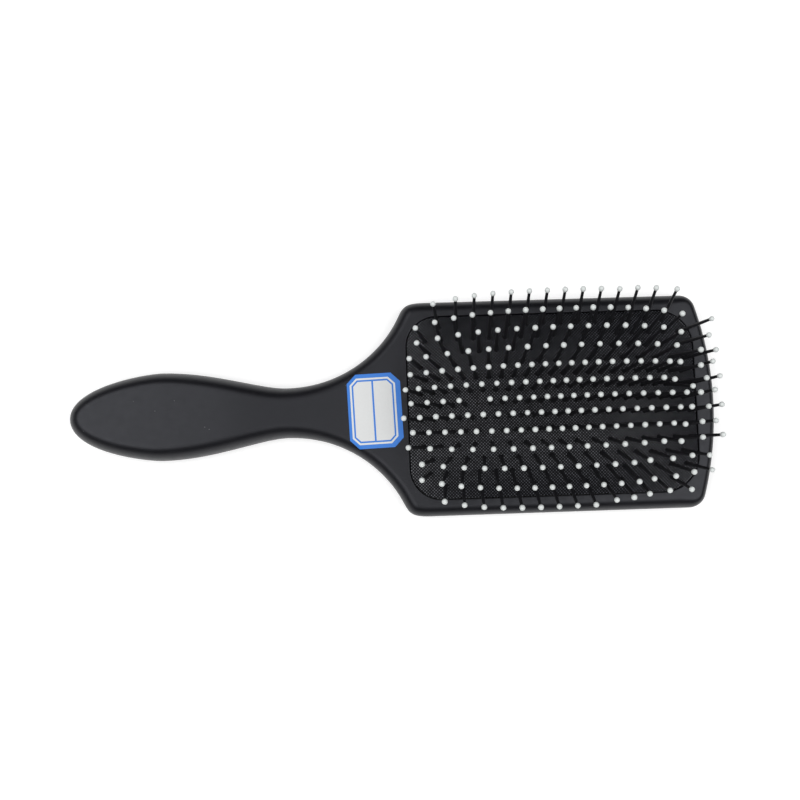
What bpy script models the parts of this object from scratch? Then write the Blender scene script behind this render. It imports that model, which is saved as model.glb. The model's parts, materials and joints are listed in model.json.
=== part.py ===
"""Paddle hair brush: a hollow two-shell body with a rubber air cushion that carries thirteen rows of pins.

The origin is on the back face under the middle of the cushion. +X runs to the free end of the
head, -X down the handle, +Z towards the pins. Sizes are in millimetres and are scaled to metres.
"""

import math

import bmesh
import bpy
from mathutils import Matrix, Vector
from mathutils.geometry import delaunay_2d_cdt

MM = 0.001
GAP = 0.3

# Outline of the body, seen from the front; only the +Y half is given.
BUTT_X = -186.3
GRIP = (-149.0, 16.8)
NECK = (-101.6, 9.5)
SHOULDER = (-62.5, 29.2)
SHOULDER_ANGLE = math.radians(54.8)
HEAD_START_X = -50.2
HEAD_HALF_WIDTH = 41.7
HEAD_END_X = 63.2
HEAD_END_RADIUS = 118.0
HEAD_CORNER_RADIUS = 6.5
CURVE_STEPS = 8
CORNER_STEPS = 5
END_STEPS = 5

# Thickness of the body.
PARTING_Z = 6.5
FACE_Z = 12.5
GRIP_RISE = 2.5
GRIP_RISE_FROM_X = -66.0
GRIP_RISE_TO_X = -128.0
NECK_HOLLOW = 1.2
NECK_HOLLOW_REACH = 38.0
EDGE_ROUND = 3.75
EDGE_STEPS = 4
WALL = 2.0
INNER_CORNER = 0.6

# Tongue of the back shell, and the rebate in the front shell that takes it.
TONGUE_INSET = 1.3
TONGUE_HEIGHT = 1.0
REBATE_INSET = 1.0

# Opening for the cushion; the corners at the handle side are rounder.
OPENING_HALF_LENGTH = 55.9
OPENING_HALF_WIDTH = 35.4
NECK_SIDE_CORNER = 12.0
END_SIDE_CORNER = 10.0

# Cushion.
RUBBER = 1.2
PAD_EDGE_Z = 12.1
PAD_CROWN = 9.9
CROWN_POWER_X = 3.0
CROWN_POWER_Y = 2.75
FLANGE_TOP_Z = FACE_Z - WALL - GAP
FLANGE_BACK_X = -58.2
FLANGE_END_X = 56.6
FLANGE_HALF_WIDTH = 37.7
FLANGE_NECK_SIDE_CORNER = 14.0
FLANGE_END_SIDE_CORNER = 11.0
PIN_HOLE_HALF = 1.1
VENT_HALF = 0.6

# Frame that clamps the flange from behind.
FRAME_TOP_WIDTH = 2.6
FRAME_TOP_THICKNESS = 1.5
FRAME_LEG = 1.8

# Pins: how many in each row, and their spacing along it. The rows either side of the middle are dense.
# The grid sits a little off centre and half a degree askew in the opening.
PIN_COUNTS = (14, 17, 16, 17, 22, 23, 22, 23, 22, 17, 16, 17, 14)
PIN_PITCHES = (6.7, 6.15, 6.4, 6.4, 4.7, 4.7, 4.7, 4.7, 4.7, 6.4, 6.4, 6.15, 6.7)
ROW_PITCH = 5.1
GRID_CENTRE = (0.7, 0.45)
GRID_TURN = math.radians(0.45)
VENT_ROW = 7
VENT_PLACE = 4
PIN_LENGTH = 17.8
BALL_RADIUS = 1.13
SHAFT_HALF = 0.7
SHAFT_TIP_HALF = 0.46
BALL_HALF = 0.98
BALL_TOP_HALF = 0.4
WEB_DEPTH = RUBBER + 0.5
WEB_THICKNESS = 0.9

# Pins that use has bent: (row, place) and the extra lean towards +X and +Y, in degrees.
BENT_PINS = {
    (1, 0): (-4, 0), (1, 11): (0, 4), (1, 12): (0, 7), (1, 13): (-5, 11),
    (2, 16): (12, 0), (3, 14): (-3, -3), (3, 15): (7, -3), (4, 0): (6, 2), (4, 15): (7, -3),
    (5, 19): (-5, 0), (5, 20): (4, -3), (6, 0): (4, 0), (6, 19): (-5, -2), (6, 20): (0, -10),
    (8, 20): (-4, 0), (9, 19): (-4, -2), (10, 14): (-3, -2), (11, 12): (-4, 1), (11, 15): (-2, -4),
    (12, 13): (-4, 1), (12, 16): (0, -4), (13, 9): (2, 5), (13, 10): (0, 6), (13, 11): (-4, 7), (13, 12): (-3, 6),
}

# Paper label on the neck.
LABEL_CENTRE = (-68.5, -0.9)
LABEL_SIZE = (21.0, 28.7)
LABEL_CHAMFER = 3.5
LABEL_TURN = math.radians(1.85)
LABEL_THICKNESS = 0.2
LABEL_LIFT = 0.25
LABEL_CELLS = (12, 16)

CHARCOAL = (0.045, 0.046, 0.049)
RUBBER_BLACK = (0.012, 0.012, 0.013)
FRAME_GREY = (0.08, 0.08, 0.085)
PIN_BLACK = (0.015, 0.015, 0.016)
PAPER = (0.85, 0.86, 0.87)


def clear_scene():
    for obj in list(bpy.data.objects):
        bpy.data.objects.remove(obj, do_unlink=True)


def material(name, colour, roughness):
    mat = bpy.data.materials.new(name)
    mat.use_nodes = True
    shader = mat.node_tree.nodes["Principled BSDF"]
    shader.inputs["Base Color"].default_value = (*colour, 1.0)
    shader.inputs["Roughness"].default_value = roughness
    shader.inputs["Metallic"].default_value = 0.0
    return mat


def add_object(name, bm, mat, pivot=Vector((0.0, 0.0, 0.0))):
    """Make an object from a mesh in millimetres, with its origin at the pivot."""
    bmesh.ops.translate(bm, verts=bm.verts, vec=-pivot)
    bmesh.ops.scale(bm, verts=bm.verts, vec=(MM, MM, MM))
    mesh = bpy.data.meshes.new(name)
    bm.to_mesh(mesh)
    bm.free()
    mesh.materials.append(mat)
    mesh.shade_smooth()
    mesh.set_sharp_from_angle(angle=math.radians(30.0))
    obj = bpy.data.objects.new(name, mesh)
    obj.location = pivot * MM
    bpy.context.collection.objects.link(obj)
    return obj


def smooth_step(value, start, end):
    t = min(max((value - start) / (end - start), 0.0), 1.0)
    return t * t * (3.0 - 2.0 * t)


# ---------------------------------------------------------------- body outline


def bezier(start, handle_a, handle_b, end, steps):
    """Points along one cubic stretch, without its last point."""
    points = []
    for i in range(steps):
        t = i / steps
        s = 1.0 - t
        points.append(s**3 * start + 3 * s * s * t * handle_a + 3 * s * t * t * handle_b + t**3 * end)
    return points


def arc(centre, radius, start, end, steps):
    """Points along one arc, without its last point."""
    points = []
    for i in range(steps):
        angle = start + (end - start) * i / steps
        points.append(centre + radius * Vector((math.cos(angle), math.sin(angle))))
    return points


def half_outline():
    """The +Y half of the outline, from the butt of the handle to the end of the head."""
    butt = Vector((BUTT_X, 0.0))
    grip = Vector(GRIP)
    neck = Vector(NECK)
    shoulder = Vector(SHOULDER)
    slope = Vector((math.cos(SHOULDER_ANGLE), math.sin(SHOULDER_ANGLE)))
    head = Vector((HEAD_START_X, HEAD_HALF_WIDTH))
    along = Vector((1.0, 0.0))
    across = Vector((0.0, 1.0))
    points = bezier(butt, butt + 10.5 * across, grip - 13.0 * along, grip, CURVE_STEPS)
    points += bezier(grip, grip + 18.8 * along, neck - 10.4 * along, neck, CURVE_STEPS)
    points += bezier(neck, neck + 16.3 * along, shoulder - 15.5 * slope, shoulder, CURVE_STEPS)
    points += bezier(shoulder, shoulder + 9.0 * slope, head - 6.7 * along, head, CURVE_STEPS)
    end_centre = Vector((HEAD_END_X - HEAD_END_RADIUS, 0.0))
    corner_y = HEAD_HALF_WIDTH - HEAD_CORNER_RADIUS
    reach = HEAD_END_RADIUS - HEAD_CORNER_RADIUS
    corner = Vector((end_centre.x + math.sqrt(reach**2 - corner_y**2), corner_y))
    turn = math.atan2(corner_y, corner.x - end_centre.x)
    points.append(head)
    points += arc(corner, HEAD_CORNER_RADIUS, math.pi / 2, turn, CORNER_STEPS)
    points += arc(end_centre, HEAD_END_RADIUS, turn, 0.0, END_STEPS)
    points.append(Vector((HEAD_END_X, 0.0)))
    return points


def inset_outline(points, inset):
    """Move the half outline inwards; its two ends stay on the centre line."""
    moved = []
    last = len(points) - 1
    for i, point in enumerate(points):
        before = points[max(i - 1, 0)]
        after = points[min(i + 1, last)]
        if i == 0:
            inwards = Vector((1.0, 0.0))
        elif i == last:
            inwards = Vector((-1.0, 0.0))
        else:
            run = (after - before).normalized()
            inwards = Vector((run.y, -run.x))
        moved.append(point + inset * inwards)
    return moved


def edge_distance(x, y, outline):
    """Distance from a point inside the body to its outline."""
    here = Vector((x, abs(y)))
    best = math.inf
    for a, b in zip(outline, outline[1:]):
        run = b - a
        t = min(max((here - a).dot(run) / run.length_squared, 0.0), 1.0)
        best = min(best, (here - a - t * run).length)
    return best


def face_height(x):
    """Height of the front face: level over the head, and a little higher over the grip."""
    return FACE_Z + GRIP_RISE * smooth_step(-x, -GRIP_RISE_FROM_X, -GRIP_RISE_TO_X)


def back_height(x):
    """Height of the back face: flat, but for a shallow hollow behind the neck."""
    away = abs(x - NECK[0]) / NECK_HOLLOW_REACH
    return NECK_HOLLOW * (1.0 - smooth_step(away, 0.0, 1.0))


# ---------------------------------------------------------------- shells


def ring(bm, half, height):
    """A closed loop of points: the half outline, then its mirror image back to the butt."""
    upper = [bm.verts.new((p.x, p.y, height(p.x))) for p in half]
    lower = [bm.verts.new((p.x, -p.y, height(p.x))) for p in half[-2:0:-1]]
    return upper + lower


def bridge(bm, first, second):
    count = len(first)
    for i in range(count):
        j = (i + 1) % count
        bm.faces.new((first[i], first[j], second[j], second[i]))


def ladder_cap(bm, loop, half_count):
    """Close a loop with strips that run straight across the body."""
    total = len(loop)
    for i in range(half_count - 1):
        a = loop[i]
        b = loop[i + 1]
        c = loop[(total - i - 1) % total]
        d = loop[(total - i) % total]
        corners = []
        for vert in (a, b, c, d):
            if vert not in corners:
                corners.append(vert)
        bm.faces.new(corners)


def shell(levels):
    """A tray turned from levels of (inset, height function), closed at its first and last level."""
    outline = half_outline()
    bm = bmesh.new()
    rings = [ring(bm, inset_outline(outline, inset), height) for inset, height in levels]
    for first, second in zip(rings, rings[1:]):
        bridge(bm, first, second)
    ladder_cap(bm, rings[0], len(outline))
    ladder_cap(bm, rings[-1], len(outline))
    bmesh.ops.recalc_face_normals(bm, faces=bm.faces)
    return bm


def rounded_levels(parting, flat_height):
    """Levels of the rounded outer edge, from the flat face to the parting line."""
    levels = []
    for i in range(EDGE_STEPS):
        angle = math.pi / 2 * (1.0 - i / (EDGE_STEPS - 1))
        inset = EDGE_ROUND * (1.0 - math.cos(angle))
        share = math.sin(angle)
        levels.append((inset, lambda x, s=share: parting + (flat_height(x) - parting) * s))
    return levels


def front_shell(mat):
    parting = PARTING_Z + GAP / 2
    rebate = PARTING_Z + TONGUE_HEIGHT + GAP
    levels = rounded_levels(parting, face_height)
    levels.append((REBATE_INSET, lambda x: parting))
    levels.append((REBATE_INSET, lambda x: rebate))
    levels.append((WALL, lambda x: rebate))
    levels.append((WALL + INNER_CORNER, lambda x: face_height(x) - WALL))
    obj = add_object("front_shell", shell(levels), mat)
    cutter = pad_opening_cutter(mat)
    cut = obj.modifiers.new("pad_opening", "BOOLEAN")
    cut.operation = "DIFFERENCE"
    cut.solver = "EXACT"
    cut.object = cutter
    return obj


def back_shell(mat):
    parting = PARTING_Z - GAP / 2
    tongue = PARTING_Z + TONGUE_HEIGHT
    levels = rounded_levels(parting, back_height)
    levels.append((TONGUE_INSET, lambda x: parting))
    levels.append((TONGUE_INSET, lambda x: tongue))
    levels.append((WALL, lambda x: tongue))
    levels.append((WALL + INNER_CORNER, lambda x: back_height(x) + WALL))
    return add_object("back_shell", shell(levels), mat)


# ---------------------------------------------------------------- pad opening, cushion and frame


def rounded_rectangle(back_x, end_x, half_width, back_corner, end_corner, divisions=(1, 1)):
    """A closed outline, anticlockwise, whose corners at the handle side and the end differ."""
    points = []
    corners = (
        (end_x - end_corner, half_width - end_corner, end_corner, 0.0, divisions[0]),
        (back_x + back_corner, half_width - back_corner, back_corner, 0.5, divisions[1]),
        (back_x + back_corner, back_corner - half_width, back_corner, 1.0, divisions[0]),
        (end_x - end_corner, end_corner - half_width, end_corner, 1.5, divisions[1]),
    )
    for i, (x, y, radius, turn, side) in enumerate(corners):
        start = turn * math.pi
        points += arc(Vector((x, y)), radius, start, start + math.pi / 2, CORNER_STEPS)
        leave = Vector((x, y)) + radius * Vector((math.cos(start + math.pi / 2), math.sin(start + math.pi / 2)))
        x2, y2, radius2 = corners[(i + 1) % 4][:3]
        arrive = Vector((x2, y2)) + radius2 * Vector((math.cos(start + math.pi / 2), math.sin(start + math.pi / 2)))
        points += [leave.lerp(arrive, k / side) for k in range(side)]
    return points


def opening_outline(inset, divisions=(1, 1)):
    return rounded_rectangle(
        -OPENING_HALF_LENGTH + inset,
        OPENING_HALF_LENGTH - inset,
        OPENING_HALF_WIDTH - inset,
        NECK_SIDE_CORNER - inset,
        END_SIDE_CORNER - inset,
        divisions,
    )


def flange_outline(inset, divisions=(1, 1)):
    return rounded_rectangle(
        FLANGE_BACK_X + inset,
        FLANGE_END_X - inset,
        FLANGE_HALF_WIDTH - inset,
        FLANGE_NECK_SIDE_CORNER - inset,
        FLANGE_END_SIDE_CORNER - inset,
        divisions,
    )


def loop_at(bm, outline, z):
    return [bm.verts.new((p.x, p.y, z)) for p in outline]


def pad_opening_cutter(mat):
    bm = bmesh.new()
    low = loop_at(bm, opening_outline(0.0), PARTING_Z)
    high = loop_at(bm, opening_outline(0.0), FACE_Z + WALL)
    bridge(bm, low, high)
    bm.faces.new(low)
    bm.faces.new(high)
    bmesh.ops.recalc_face_normals(bm, faces=bm.faces)
    cutter = add_object("pad_opening_cutter", bm, mat)
    cutter.hide_render = True
    cutter.display_type = "WIRE"
    return cutter


PAD_HALF_LENGTH = OPENING_HALF_LENGTH - GAP
PAD_HALF_WIDTH = OPENING_HALF_WIDTH - GAP


def crown(x, y):
    """Height of the cushion's surface."""
    along = 1.0 - min(abs(x) / PAD_HALF_LENGTH, 1.0) ** CROWN_POWER_X
    across = 1.0 - min(abs(y) / PAD_HALF_WIDTH, 1.0) ** CROWN_POWER_Y
    return PAD_EDGE_Z + PAD_CROWN * along * across


def crown_normal(x, y):
    step = 0.01
    slope_x = (crown(x + step, y) - crown(x - step, y)) / (2 * step)
    slope_y = (crown(x, y + step) - crown(x, y - step)) / (2 * step)
    return Vector((-slope_x, -slope_y, 1.0)).normalized()


def grid_point(row, along):
    """A point of one row in plan, at a distance along it from its middle. Row 1 is at the +Y side."""
    middle = (len(PIN_COUNTS) + 1) / 2
    return Vector(GRID_CENTRE) + Matrix.Rotation(GRID_TURN, 2) @ Vector((along, (middle - row) * ROW_PITCH))


def row_places(row):
    """The places in one row, in plan, with the one that holds the vent instead of a pin."""
    count = PIN_COUNTS[row - 1]
    return [grid_point(row, (i - (count - 1) / 2) * PIN_PITCHES[row - 1]) for i in range(count)]


def is_vent(row, place):
    return row == VENT_ROW and place == VENT_PLACE


def pins_of(row):
    """The root and the direction of each pin in one row. A straight pin stands square to the rubber."""
    pins = []
    for place, (x, y) in enumerate(row_places(row)):
        if is_vent(row, place):
            continue
        lean_x, lean_y = BENT_PINS.get((row, place), (0, 0))
        bend = Vector((math.tan(math.radians(lean_x)), math.tan(math.radians(lean_y)), 0.0))
        pins.append((Vector((x, y, crown(x, y))), (crown_normal(x, y) + bend).normalized()))
    return pins


def hole_squares():
    """The four corners, in plan, of each pin hole and of the vent."""
    squares = []
    for row in range(1, len(PIN_COUNTS) + 1):
        for place, (x, y) in enumerate(row_places(row)):
            half = VENT_HALF if is_vent(row, place) else PIN_HOLE_HALF
            squares.append([Vector((x + half * a, y + half * b)) for a, b in ((1, 1), (-1, 1), (-1, -1), (1, -1))])
    return squares


def cushion_pad(mat):
    """A domed membrane with a hole for each pin, a short side wall and a clamped flange."""
    divisions = (9, 5)
    edge = opening_outline(GAP, divisions)
    squares = hole_squares()
    plan = edge + [corner for square in squares for corner in square]
    first = len(edge)
    constraints = [(i, (i + 1) % first) for i in range(first)]
    for k in range(len(squares)):
        start = first + 4 * k
        constraints += [(start + i, start + (i + 1) % 4) for i in range(4)]
    triangles = delaunay_2d_cdt(plan, constraints, [], 1, 1e-6)[2]

    def hole_of(index):
        return (index - first) // 4 if index >= first else -1 - index

    inner_edge = opening_outline(GAP + RUBBER, divisions)
    bm = bmesh.new()
    outside = []
    inside = []
    for i, point in enumerate(plan):
        surface = Vector((point.x, point.y, crown(point.x, point.y)))
        outside.append(bm.verts.new(surface))
        if i < first:
            under = Vector((inner_edge[i].x, inner_edge[i].y, surface.z - RUBBER))
        else:
            under = surface - RUBBER * crown_normal(point.x, point.y)
        inside.append(bm.verts.new(under))
    for a, b, c in triangles:
        if hole_of(a) == hole_of(b) == hole_of(c):
            continue
        bm.faces.new((outside[a], outside[b], outside[c]))
        bm.faces.new((inside[c], inside[b], inside[a]))
    for k in range(len(squares)):
        start = first + 4 * k
        bridge(bm, outside[start:start + 4], inside[start:start + 4])
    loops = [
        outside[:first],
        loop_at(bm, edge, FLANGE_TOP_Z),
        loop_at(bm, flange_outline(0.0, divisions), FLANGE_TOP_Z),
        loop_at(bm, flange_outline(0.0, divisions), FLANGE_TOP_Z - RUBBER),
        loop_at(bm, inner_edge, FLANGE_TOP_Z - RUBBER),
        inside[:first],
    ]
    for one, two in zip(loops, loops[1:]):
        bridge(bm, one, two)
    bmesh.ops.recalc_face_normals(bm, faces=bm.faces)
    return add_object("cushion_pad", bm, mat)


def pad_retaining_frame(mat):
    """A ring of angle section that stands on the back shell and presses the flange to the rim."""
    top = FLANGE_TOP_Z - RUBBER - GAP
    under = top - FRAME_TOP_THICKNESS
    foot = WALL + GAP
    section = ((0.0, foot), (0.0, top), (FRAME_TOP_WIDTH, top), (FRAME_TOP_WIDTH, under), (FRAME_LEG, under),
               (FRAME_LEG, foot))
    bm = bmesh.new()
    loops = [loop_at(bm, flange_outline(inset), z) for inset, z in section]
    for one, two in zip(loops, loops[1:] + loops[:1]):
        bridge(bm, one, two)
    bmesh.ops.recalc_face_normals(bm, faces=bm.faces)
    return add_object("pad_retaining_frame", bm, mat)


# ---------------------------------------------------------------- pins


def pin_section(bm, root, direction, height, half):
    """Four corners of a pin or its web, square to the pin, at a height above the rubber."""
    along = (Vector((1.0, 0.0, 0.0)) - direction.x * direction).normalized()
    across = direction.cross(along)
    centre = root + height * direction
    corners = ((-1, -1), (1, -1), (1, 1), (-1, 1))
    return [bm.verts.new(centre + half * (a * along + b * across)) for a, b in corners]


def pin_row(row, mat):
    """One row of ball-tipped pins on the thin web that joins their heads behind the rubber."""
    bm = bmesh.new()
    stations = (
        (-WEB_DEPTH, SHAFT_HALF),
        (PIN_LENGTH - 0.9 * BALL_RADIUS, SHAFT_TIP_HALF),
        (PIN_LENGTH, BALL_HALF),
        (PIN_LENGTH + BALL_RADIUS, BALL_TOP_HALF),
    )
    previous = None
    for root, direction in pins_of(row):
        low = pin_section(bm, root, direction, -WEB_DEPTH - WEB_THICKNESS, SHAFT_HALF)
        sections = [pin_section(bm, root, direction, height, half) for height, half in stations]
        for one, two in zip(sections, sections[1:]):
            bridge(bm, one, two)
        bm.faces.new(sections[-1])
        bm.faces.new(low)
        top = sections[0]
        bm.faces.new((low[0], low[1], top[1], top[0]))
        bm.faces.new((low[2], low[3], top[3], top[2]))
        back_face = (low[0], top[0], top[3], low[3])
        if previous is None:
            bm.faces.new(back_face)
        else:
            bridge(bm, previous, back_face)
        previous = (low[1], top[1], top[2], low[2])
    bm.faces.new(previous)
    bmesh.ops.recalc_face_normals(bm, faces=bm.faces)
    return add_object(f"pin_row_{row:02d}", bm, mat, row_pivot(row))


def row_pivot(row):
    """A row rocks about its own line, at the mean height of its pin roots."""
    heights = [root.z for root, direction in pins_of(row)]
    return Vector((*grid_point(row, 0.0), sum(heights) / len(heights)))


# ---------------------------------------------------------------- label


def body_surface(x, y, outline):
    """Height of the front of the body, flat face or rounded edge."""
    flat = face_height(x)
    short = EDGE_ROUND - edge_distance(x, y, outline)
    if short <= 0.0:
        return flat
    drop = 1.0 - math.sqrt(max(1.0 - (short / EDGE_ROUND) ** 2, 0.0))
    return flat - (flat - PARTING_Z) * drop


def neck_label(mat):
    """A blank paper octagon that lies on the neck and droops a little over its rounded edges."""
    bm = bmesh.new()
    bmesh.ops.create_grid(bm, x_segments=LABEL_CELLS[0], y_segments=LABEL_CELLS[1], size=0.5)
    bmesh.ops.scale(bm, verts=bm.verts, vec=(LABEL_SIZE[0], LABEL_SIZE[1], 1.0))
    for side_x in (-1, 1):
        for side_y in (-1, 1):
            corner = Vector((side_x * (LABEL_SIZE[0] / 2 - LABEL_CHAMFER), side_y * LABEL_SIZE[1] / 2, 0.0))
            geometry = bm.verts[:] + bm.edges[:] + bm.faces[:]
            bmesh.ops.bisect_plane(bm, geom=geometry, plane_co=corner, plane_no=(side_x, side_y, 0.0),
                                   clear_outer=True)
    turn = Matrix.Rotation(LABEL_TURN, 4, "Z")
    bmesh.ops.transform(bm, verts=bm.verts, matrix=Matrix.Translation((*LABEL_CENTRE, 0.0)) @ turn)
    outline = half_outline()
    for vert in bm.verts:
        vert.co.z = body_surface(vert.co.x, vert.co.y, outline) + LABEL_LIFT
    for face in bm.faces:
        if face.normal.z < 0.0:
            face.normal_flip()
    sheet = bmesh.ops.extrude_face_region(bm, geom=bm.faces[:])
    raised = [item for item in sheet["geom"] if isinstance(item, bmesh.types.BMVert)]
    bmesh.ops.translate(bm, verts=raised, vec=(0.0, 0.0, LABEL_THICKNESS))
    bmesh.ops.recalc_face_normals(bm, faces=bm.faces)
    return add_object("neck_label", bm, mat)


def main():
    clear_scene()
    front_shell(material("charcoal_soft_touch_front", CHARCOAL, 0.5))
    back_shell(material("charcoal_soft_touch_back", CHARCOAL, 0.5))
    cushion_pad(material("rubber", RUBBER_BLACK, 0.6))
    pad_retaining_frame(material("frame_plastic", FRAME_GREY, 0.5))
    for row in range(1, len(PIN_COUNTS) + 1):
        pin_row(row, material(f"pin_nylon_{row:02d}", PIN_BLACK, 0.4))
    neck_label(material("paper", PAPER, 0.8))


main()
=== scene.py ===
"""Visible pieces, materials and studio of a paddle hair brush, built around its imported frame.

Meshes are modelled in millimetres, in the frame's own axes, and are scaled to metres when they are
finished: +X runs to the free end of the head, -X down the handle and +Z towards the pins.
"""

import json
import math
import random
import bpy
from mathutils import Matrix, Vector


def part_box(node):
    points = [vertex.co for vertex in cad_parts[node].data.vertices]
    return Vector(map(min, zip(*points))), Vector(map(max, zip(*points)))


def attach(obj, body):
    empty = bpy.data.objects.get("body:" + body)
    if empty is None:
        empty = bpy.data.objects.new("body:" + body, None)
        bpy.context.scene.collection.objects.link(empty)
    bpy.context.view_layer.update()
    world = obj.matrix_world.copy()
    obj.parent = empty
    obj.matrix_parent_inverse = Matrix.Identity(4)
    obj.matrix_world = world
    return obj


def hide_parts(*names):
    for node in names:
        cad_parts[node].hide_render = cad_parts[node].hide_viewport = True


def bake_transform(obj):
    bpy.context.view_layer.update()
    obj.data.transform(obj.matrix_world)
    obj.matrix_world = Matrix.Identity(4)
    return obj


bl_info = {
    "name": "Paddle Hair Brush",
    "version": (1, 0, 0),
    "blender": (4, 5, 0),
    "location": "3D View > Sidebar > Brush",
    "description": "Builds the pieces of a paddle hair brush, their materials and a studio",
    "category": "Add Mesh",
}

import bmesh
import bpy
from bpy.props import FloatProperty, FloatVectorProperty, IntProperty, PointerProperty
from mathutils import Matrix, Vector
from mathutils.geometry import delaunay_2d_cdt, interpolate_bezier

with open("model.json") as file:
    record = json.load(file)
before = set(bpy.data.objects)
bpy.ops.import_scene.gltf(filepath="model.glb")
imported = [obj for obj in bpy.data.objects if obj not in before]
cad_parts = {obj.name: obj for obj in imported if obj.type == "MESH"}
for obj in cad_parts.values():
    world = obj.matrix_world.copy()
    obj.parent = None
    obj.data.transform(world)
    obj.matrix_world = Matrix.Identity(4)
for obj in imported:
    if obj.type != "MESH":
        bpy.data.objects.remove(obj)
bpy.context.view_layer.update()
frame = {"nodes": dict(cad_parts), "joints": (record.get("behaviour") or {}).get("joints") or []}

MM = 0.001


def in_mm(corner):
    return corner / MM


BODY_LOW, BODY_HIGH = (in_mm(corner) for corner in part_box("front_shell"))
PAD_HIGH = in_mm(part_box("cushion_pad")[1])
ROW_JOINTS = [joint for joint in frame["joints"] if joint["child"].startswith("pin_row_")]

# Outline of the body in plan; only the +Y half is given. The coated head stands a little outside the
# plain part. A pull is the length of the curve's handle before or after a point.
BUTT_X = BODY_LOW.x
HEAD_END_X = BODY_HIGH.x + 0.8
HEAD_HALF_WIDTH = BODY_HIGH.y + 0.1
GRIP = Vector((-150.7, 17.0))
NECK = Vector((-102.6, 9.7))
SHOULDER = Vector((-62.5, 29.85))
SHOULDER_ANGLE = math.radians(54.1)
HEAD_START_X = -48.3
BUTT_PULL = 12.8
GRIP_PULLS = (6.8, 19.7)
NECK_PULLS = (10.5, 19.3)
SHOULDER_PULLS = (12.2, 11.1)
HEAD_PULL = 10.6
HEAD_END_RADIUS = 130.0
HEAD_CORNER_RADIUS = 6.5
CURVE_STEPS = 30
CORNER_STEPS = 10
END_STEPS = 20

# Heights of the body, and the rise and hollow of its two faces along the handle.
GAP = 0.3
PARTING_Z = 6.5
FACE_Z = 12.5
GRIP_RISE = BODY_HIGH.z - FACE_Z
GRIP_RISE_FROM_X = -66.0
GRIP_RISE_TO_X = -128.0
EDGE_POWER = 2.1
EDGE_STEPS = 16
FLAT_MARGIN = 0.3
HANDLE_EDGE_WIDER = 0.22
HANDLE_EDGE_SPAN = (62.0, 115.0)
END_EDGE_NARROWER = 0.30
END_EDGE_SPAN = (46.0, 61.0)
NECK_HOLLOW = 1.2
NECK_HOLLOW_REACH = 38.0
FIRST_STATION = 6.0
STATION_STEP = 2.5
TONGUE_INSET = 1.3
TONGUE_HEIGHT = 1.0
REBATE_INSET = 1.0
INNER_CORNER = 0.6
MERGE_WITHIN = 0.002

# Opening for the cushion; the corners at the handle side are rounder.
OPENING_HALF_LENGTH = 55.9
OPENING_HALF_WIDTH = 35.4
NECK_SIDE_CORNER = 12.0
END_SIDE_CORNER = 14.5

# Crown of the cushion.
PAD_EDGE_Z = 12.1
PAD_CROWN = PAD_HIGH.z - PAD_EDGE_Z
CROWN_POWER_X = 3.0
CROWN_POWER_Y = 2.75
PAD_HALF_LENGTH = OPENING_HALF_LENGTH - GAP
PAD_HALF_WIDTH = OPENING_HALF_WIDTH - GAP

# Pins: how many in each row, and their spacing along it. One place in the middle row is a vent instead.
PIN_COUNTS = (14, 17, 16, 17, 22, 23, 22, 23, 22, 17, 16, 17, 14)
PIN_PITCHES = (6.7, 6.15, 6.4, 6.4, 4.7, 4.7, 4.7, 4.7, 4.7, 6.4, 6.4, 6.15, 6.7)
VENT_ROW = 7
VENT_PLACE = 4
VENT_SLIT_HALF_WIDTH = 0.28
VENT_SLIT_REACH = 1.1
PIN_FOOT_DEPTH = 1.1
PIN_FOOT_FLARE = 1.25
PIN_COLLAR_FLARE = 1.2
PIN_COLLAR_HEIGHT = 0.7
PIN_TIP_SUNK = 0.5
BEAD_STEPS = 7
BEAD_NECK_STRETCH = 1.12
BEAD_SEED = 13
BEAD_SIZES = (0.95, 1.04)
BEAD_LENGTHS = (0.97, 1.06)

# Pins that use has bent: (row, place) and the extra lean towards +X and +Y, in degrees.
BENT_PINS = {
    (1, 0): (-4, 0), (1, 11): (0, 4), (1, 12): (0, 7), (1, 13): (3, 11),
    (2, 16): (18, 1),
    (3, 14): (-3, -3), (3, 15): (11, -2),
    (4, 0): (6, 2), (4, 15): (7, -3), (4, 16): (2, 0),
    (5, 19): (-5, 0), (5, 20): (4, -3), (5, 21): (2, 3),
    (6, 0): (4, 0), (6, 19): (-5, -2), (6, 20): (0, -10), (6, 22): (0, 3),
    (7, 21): (1, 3),
    (8, 20): (-4, 0), (8, 22): (0, 2),
    (9, 19): (-4, -2),
    (10, 14): (-3, -2), (10, 16): (3, 0),
    (11, 12): (-4, 1), (11, 15): (-2, -4),
    (12, 13): (-4, 1), (12, 16): (0, -4),
    (13, 9): (2, 5), (13, 10): (0, 6), (13, 11): (-4, 7), (13, 12): (-3, 6),
}
FIRST_ROW_LEAN = 3.5

# Printed bands of the label, from the outside in: width and material slot.
LABEL_CENTRE = (-68.6, -0.6)
BLUE_INK, CREAM_PAPER, WHITE_PAPER = 0, 1, 2
LABEL_BANDS = ((1.55, BLUE_INK), (0.7, CREAM_PAPER), (0.65, BLUE_INK))
LABEL_PRINT_SHIFT = -0.45
LABEL_DIVIDER_PLACE = 0.5
LABEL_DIVIDER_WIDTH = 0.7
LABEL_LIFT = 0.05
LABEL_CELL = 1.2
CREAM_COLOUR = (0.68, 0.69, 0.67)
WHITE_COLOUR = (0.66, 0.67, 0.67)

# Edges that turn by more than this are drawn sharp.
BODY_SHARP = math.radians(35.0)
RUBBER_SHARP = math.radians(50.0)
PIN_SHARP = math.radians(60.0)

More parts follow.
